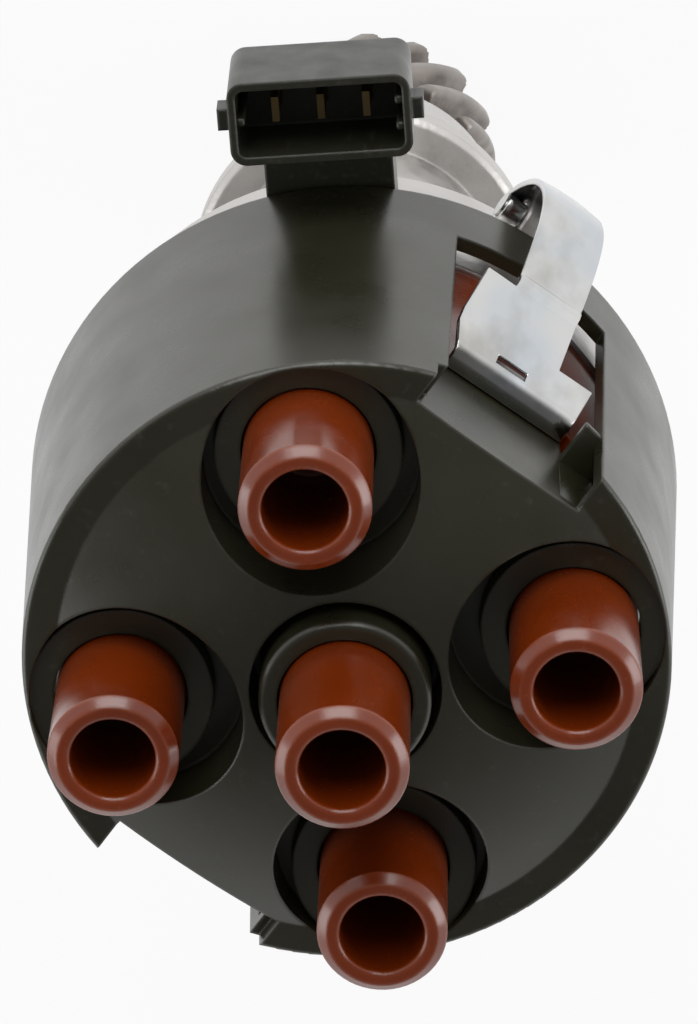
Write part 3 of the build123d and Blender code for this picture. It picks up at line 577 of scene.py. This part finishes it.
def bow_between(start, first_way, middle, end, last_way, steps):
    """A smooth run through three points that leaves and arrives in the given directions."""
    first = (middle - start).length
    second = (end - middle).length
    pull = (middle - start) * (second / first) + (end - middle) * (first / second)
    way = (pull * 3 - first_way * second - last_way * first) / (2 * (first + second))
    run = []
    legs = ((start, first_way, middle, way, first), (middle, way, end, last_way, second))
    for begin, leave, finish, arrive, span in legs:
        for step in range(1, steps + 1):
            t = step / steps
            run.append(
                begin * (2 * t**3 - 3 * t**2 + 1)
                + leave * span * (t**3 - 2 * t**2 + t)
                + finish * (3 * t**2 - 2 * t**3)
                + arrive * span * (t**3 - t**2)
            )
    return run


def clip_rows():
    """Stations along a clip: the point, its outward side, how far up the head, and its kind."""
    down = (CLIP_BEND - CLIP_FOLD).normalized()
    head = [CLIP_TIP, CLIP_FOLD + Vector((-0.9, 0)), CLIP_FOLD + Vector((-0.17, -0.16))]
    heights = [0.0, 0.0, 0.0]
    for height in HEAD_HEIGHTS:
        head.append(CLIP_FOLD + down * height)
        heights.append(height)
    start_turn = math.radians(CURL_START)
    curl_start = CLIP_PIVOT + Vector((math.cos(start_turn), math.sin(start_turn))) * CLIP_CURL
    into_curl = Vector((math.sin(start_turn), -math.cos(start_turn)))
    bow = bow_between(CLIP_BEND, down, CLIP_APEX, curl_start, into_curl, BOW_STEPS)
    curl = []
    for step in range(1, CURL_STEPS + 1):
        turn = start_turn - math.radians(CURL_SWEEP) * step / CURL_STEPS
        curl.append(CLIP_PIVOT + Vector((math.cos(turn), math.sin(turn))) * CLIP_CURL)
    points = head + bow + curl
    kinds = ["head"] * len(head) + ["bow"] * len(bow) + ["curl"] * len(curl)
    heights += [BELOW_HEAD] * (len(bow) + len(curl))
    rows = []
    for place, point in enumerate(points):
        ahead = points[min(place + 1, len(points) - 1)]
        behind = points[max(place - 1, 0)]
        along = (ahead - behind).normalized()
        rows.append((point, Vector((-along.y, along.x)), heights[place], kinds[place]))
    return rows


def wing_edges(height):
    """How far the head's two wings reach sideways at that distance from the fold."""
    narrowing = max(height - RIGHT_WING_FOOT, 0) / (LEFT_WING_FOOT - RIGHT_WING_FOOT)
    left = -WING_HALF - LEFT_FLARE * min(height / LEFT_WING_ROUND, 1) + LEFT_FLARE * narrowing
    right = WING_HALF + RIGHT_FLARE * min(height / RIGHT_WING_FOOT, 1)
    return left, right


def clip_stations(height, kind):
    """Sideways places of the grid's lines on one station; below the head the outer ones go unused."""
    left, right = wing_edges(height)
    inner = [-STRAP_HALF, -3.0, -1.75, 0.8, 1.75, STRAP_HALF]
    if kind == "head":
        return [left, (left - STRAP_HALF) / 2] + inner + [(right + STRAP_HALF) / 2, right]
    return [-7.8, -6.0] + inner + [6.0, 7.8]


def spring_clip(name, bearing):
    """A bowed steel strap: lip over the cap, winged head with its slit, bead, bow and curls."""
    turn = math.radians(bearing)
    outward = Vector((math.cos(turn), math.sin(turn), 0))
    across = Vector((math.sin(turn), -math.cos(turn), 0))
    rows = clip_rows()
    sheet = bmesh.new()
    grid = []
    for point, side, height, kind in rows:
        line = []
        for aside in clip_stations(height, kind):
            crown = 0.0
            if kind == "bow":
                crown = BOW_CROWN * (1 - (aside / STRAP_HALF) ** 2)
            if height in BEAD:
                crown = BEAD_CROWN
            at = point - side * crown if side.x < 0 else point + side * crown
            place = outward * at.x + across * (aside + CLIP_ASIDE) + Vector((0, 0, at.y))
            line.append(sheet.verts.new(place * MM))
        grid.append(line)
    for row in range(len(rows) - 1):
        height = rows[row + 1][2]
        kind = rows[row + 1][3]
        for column in range(len(grid[0]) - 1):
            strap = 2 <= column <= 6
            left_wing = column < 2 and kind == "head" and height <= LEFT_WING_FOOT
            right_wing = column > 6 and kind == "head" and height <= RIGHT_WING_FOOT
            slit = column in (3, 4) and height == SLIT_END
            hinge = column in (4, 5) and kind == "curl"
            if (strap or left_wing or right_wing) and not slit and not hinge:
                corners = (grid[row][column], grid[row][column + 1],
                           grid[row + 1][column + 1], grid[row + 1][column])
                sheet.faces.new(corners)
    loose = [corner for corner in sheet.verts if not corner.link_faces]
    bmesh.ops.delete(sheet, geom=loose, context="VERTS")
    bmesh.ops.recalc_face_normals(sheet, faces=sheet.faces)
    mesh = bpy.data.meshes.new(name)
    sheet.to_mesh(mesh)
    sheet.free()
    clip = add(name, mesh)
    wall = clip.modifiers.new("sheet", "SOLIDIFY")
    wall.thickness = SHEET * MM
    wall.offset = 0
    wall.use_even_offset = True
    edge = clip.modifiers.new("edge", "BEVEL")
    edge.width = SHEET_EDGE * MM
    edge.segments = 2
    edge.limit_method = "ANGLE"
    edge.angle_limit = math.radians(50)
    settle(clip)
    return clip


def settle(piece):
    """Turns a piece's modifiers into its plain mesh, shaded smooth up to sharp edges."""
    bpy.context.view_layer.update()
    seen = piece.evaluated_get(bpy.context.evaluated_depsgraph_get())
    made = bpy.data.meshes.new_from_object(seen)
    piece.modifiers.clear()
    piece.data = made
    made.shade_smooth()
    made.set_sharp_from_angle(angle=math.radians(SHARP_ANGLE))


def fit_the_clips():
    finish = zinc_steel()
    for side, bearing in CLIP_SIDES:
        node = f"{side}_clip"
        body = f"{side}_clip_body"
        clip = spring_clip(node + "_strap", bearing)
        clip.data.materials.clear()
        clip.data.materials.append(finish)
        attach(clip, body)
        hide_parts(node)
        dress(finish, node)


def gear_sector():
    """One tooth of the gear with its share of the body, twisted along the helix."""
    half_pitch = math.pi / GEAR_TEETH
    flank = [(GEAR_TIP_R - TOOTH_DEPTH, half_pitch)]
    flank += [(out, math.atan(half / out)) for out, half in TOOTH_FLANK]
    outline = [(out, -turn) for out, turn in flank] + [(out, turn) for out, turn in flank[::-1]]
    bore = [(SHAFT_R, half_pitch * (1 - step / 2)) for step in range(5)]
    length = GEAR_TOP_Z - GEAR_FOOT_Z
    ends = [0, 0.15, 0.45, 0.9, TOOTH_END_ROUND]
    straight = length - 2 * TOOTH_END_ROUND
    heights = ends + [TOOTH_END_ROUND + straight * step / GEAR_STEPS for step in range(1, GEAR_STEPS)]
    heights += [length - end for end in ends[::-1]]
    body = bmesh.new()
    layers = []
    for height in heights:
        short = max(TOOTH_END_ROUND - min(height, length - height), 0)
        reach = GEAR_TIP_R - TOOTH_END_ROUND + math.sqrt(TOOTH_END_ROUND**2 - short**2)
        twist = height * math.tan(math.radians(GEAR_HELIX)) / GEAR_TIP_R
        layer = []
        for out, turn in outline + bore:
            out = min(out, reach)
            along = turn + twist
            place = (out * math.cos(along), out * math.sin(along), GEAR_FOOT_Z + height)
            layer.append(body.verts.new(Vector(place) * MM))
        layers.append(layer)
    walls = [place for place in range(len(layers[0]) - 1) if place != len(outline) - 1]
    for below, above in zip(layers, layers[1:]):
        for place in walls:
            body.faces.new((below[place], below[place + 1], above[place + 1], above[place]))
    body.faces.new(layers[0][::-1])
    body.faces.new(layers[-1])
    mesh = bpy.data.meshes.new("gear_sector")
    body.to_mesh(mesh)
    body.free()
    return mesh


def ring_tree():
    """Geometry Nodes tree that sets a sector round the shaft and welds the ring."""
    tree = bpy.data.node_groups.new("ring_of_sectors", "GeometryNodeTree")
    sockets = tree.interface
    sockets.new_socket("Sector", in_out="INPUT", socket_type="NodeSocketGeometry")
    count = sockets.new_socket("Count", in_out="INPUT", socket_type="NodeSocketInt")
    finish = sockets.new_socket("Finish", in_out="INPUT", socket_type="NodeSocketMaterial")
    sockets.new_socket("Ring", in_out="OUTPUT", socket_type="NodeSocketGeometry")
    given = tree.nodes.new("NodeGroupInput")
    points = tree.nodes.new("GeometryNodePoints")
    number = tree.nodes.new("GeometryNodeInputIndex")
    share = tree.nodes.new("ShaderNodeMath")
    share.operation = "DIVIDE"
    share.inputs[0].default_value = 2 * math.pi
    turn = tree.nodes.new("ShaderNodeMath")
    turn.operation = "MULTIPLY"
    about = tree.nodes.new("ShaderNodeCombineXYZ")
    place = tree.nodes.new("GeometryNodeInstanceOnPoints")
    solid = tree.nodes.new("GeometryNodeRealizeInstances")
    weld = tree.nodes.new("GeometryNodeMergeByDistance")
    weld.inputs["Distance"].default_value = 0.001 * MM
    paint = tree.nodes.new("GeometryNodeSetMaterial")
    made = tree.nodes.new("NodeGroupOutput")
    for start, end in (
        (given.outputs["Count"], points.inputs["Count"]),
        (given.outputs["Count"], share.inputs[1]),
        (number.outputs["Index"], turn.inputs[0]),
        (share.outputs[0], turn.inputs[1]),
        (turn.outputs[0], about.inputs["Z"]),
        (points.outputs[0], place.inputs["Points"]),
        (given.outputs["Sector"], place.inputs["Instance"]),
        (about.outputs[0], place.inputs["Rotation"]),
        (place.outputs[0], solid.inputs["Geometry"]),
        (solid.outputs["Geometry"], weld.inputs["Geometry"]),
        (weld.outputs["Geometry"], paint.inputs["Geometry"]),
        (given.outputs["Finish"], paint.inputs["Material"]),
        (paint.outputs["Geometry"], made.inputs["Ring"]),
    ):
        tree.links.new(start, end)
    return tree, count.identifier, finish.identifier


def cut_the_gear():
    """Drive gear: helical teeth with rounded flanks and ends, and its hub in the same mesh."""
    finish = hardened_steel()
    gear = add("drive_gear_cut", gear_sector())
    tree, count, paint = ring_tree()
    ring = gear.modifiers.new("ring", "NODES")
    ring.node_group = tree
    ring[count] = GEAR_TEETH
    ring[paint] = finish
    settle(gear)
    whole = bmesh.new()
    whole.from_mesh(gear.data)
    outline = [whole.verts.new(Vector((out, 0, up)) * MM) for out, up in HUB_OUTLINE]
    edges = [whole.edges.new((corner, outline[(place + 1) % len(outline)]))
             for place, corner in enumerate(outline)]
    bmesh.ops.spin(whole, geom=outline + edges, axis=(0, 0, 1), cent=(0, 0, 0),
                   angle=2 * math.pi, steps=72, use_merge=True)
    bmesh.ops.recalc_face_normals(whole, faces=whole.faces)
    for face in whole.faces:
        face.material_index = 0
    whole.to_mesh(gear.data)
    whole.free()
    gear.data.materials.clear()
    gear.data.materials.append(finish)
    gear.data.shade_smooth()
    gear.data.set_sharp_from_angle(angle=math.radians(SHARP_ANGLE))
    dress(finish, "drive_gear")
    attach(gear, "rotor")
    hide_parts("drive_gear")


def slab(name, corners, low, high):
    """A prism over a plan outline in millimetres, with its edges rounded."""
    body = bmesh.new()
    floor = [body.verts.new(Vector((x, y, low)) * MM) for x, y in corners]
    roof = [body.verts.new(Vector((x, y, high)) * MM) for x, y in corners]
    body.faces.new(floor)
    body.faces.new(roof)
    for place in range(len(corners)):
        after = (place + 1) % len(corners)
        body.faces.new((floor[place], floor[after], roof[after], roof[place]))
    bmesh.ops.recalc_face_normals(body, faces=body.faces)
    mesh = bpy.data.meshes.new(name)
    body.to_mesh(mesh)
    body.free()
    piece = add(name, mesh)
    soft = piece.modifiers.new("edge", "BEVEL")
    soft.width = SLAB_EDGE * MM
    soft.segments = 3
    soft.limit_method = "ANGLE"
    settle(piece)
    return piece


def turned_plan(bearing, corners):
    """Outline corners given as outwards and sideways of a bearing, turned into the plan."""
    turn = math.radians(bearing)
    outward = Vector((math.cos(turn), math.sin(turn)))
    across = Vector((math.sin(turn), -math.cos(turn)))
    return [tuple(outward * out + across * aside) for out, aside in corners]


def close_the_windows():
    """Shelf and wall beside each clip's window, over the cap's corner; their form is a guess."""
    parts = (("shelf", SHELF_PLAN, SHELF_TOP_Z), ("wall", WALL_PLAN, WALL_TOP_Z))
    for side, bearing in CLIP_SIDES:
        for part, plan, high in parts:
            name = f"{side}_window_{part}"
            piece = slab(name, turned_plan(bearing, plan), WINDOW_FOOT_Z, high)
            piece.data.materials.append(bpy.data.materials["black_moulding"])
            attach(piece, "housing_body")


def key_the_socket():
    """Keying ribs on the end walls of the connector's mouth; their number is a guess."""
    for count, (out, aside) in enumerate(KEY_PLACES, 1):
        corners = [(out + x * KEY_HALF_OUT, aside + y * KEY_HALF_ASIDE) for x, y in CORNER_SIGNS]
        plan = turned_plan(CONNECTOR_BEARING, corners)
        rib = slab(f"socket_key_{count}", plan, KEY_FOOT_Z, KEY_TOP_Z)
        rib.data.materials.append(bpy.data.materials["charcoal_nylon"])
        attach(rib, "housing_body")


def dress(finish, *nodes):
    """Gives CAD nodes a finish in their own material slots."""
    for node in nodes:
        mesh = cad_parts[node].data
        if not mesh.materials:
            mesh.materials.append(finish)
        for place in range(len(mesh.materials)):
            mesh.materials[place] = finish


def finish_the_nodes():
    dress(black_moulding(), "dust_shield")
    dress(red_resin(), "distributor_cap")
    dress(cast_aluminium(), "housing")
    dress(ground_steel(), "drive_shaft", "gear_pin", "clip_pins", "upper_washer", "lower_washer")
    dress(bronze_bush(), "upper_bush", "lower_bush")
    dress(seal_rubber(), "shank_seal", "shaft_seal")
    dress(charcoal_nylon(), "connector_socket")
    # The tower contacts carry painted shade: their brass is coloured dark brown for the depth of the
    # bores.
    dress(brass_darkened_as_painted_shade(), "outer_terminals", "centre_terminal")
    dress(dull_brass(), "terminal_blades", "rotor_blade")
    dress(pressed_steel(), "trigger_wheel", "base_plate", "plate_screws", "brush_spring")
    dress(sensor_resin(), "hall_sensor")
    dress(cover_plastic(), "dust_cover")
    dress(rotor_resin(), "rotor_arm")
    dress(brush_carbon(), "carbon_brush")
    dress(magnet_ferrite(), "hall_magnet")


look_down_on_cap()
light_the_studio()
white_surround()
lay_the_bench()
finish_the_nodes()
fit_the_clips()
close_the_windows()
key_the_socket()
cut_the_gear()
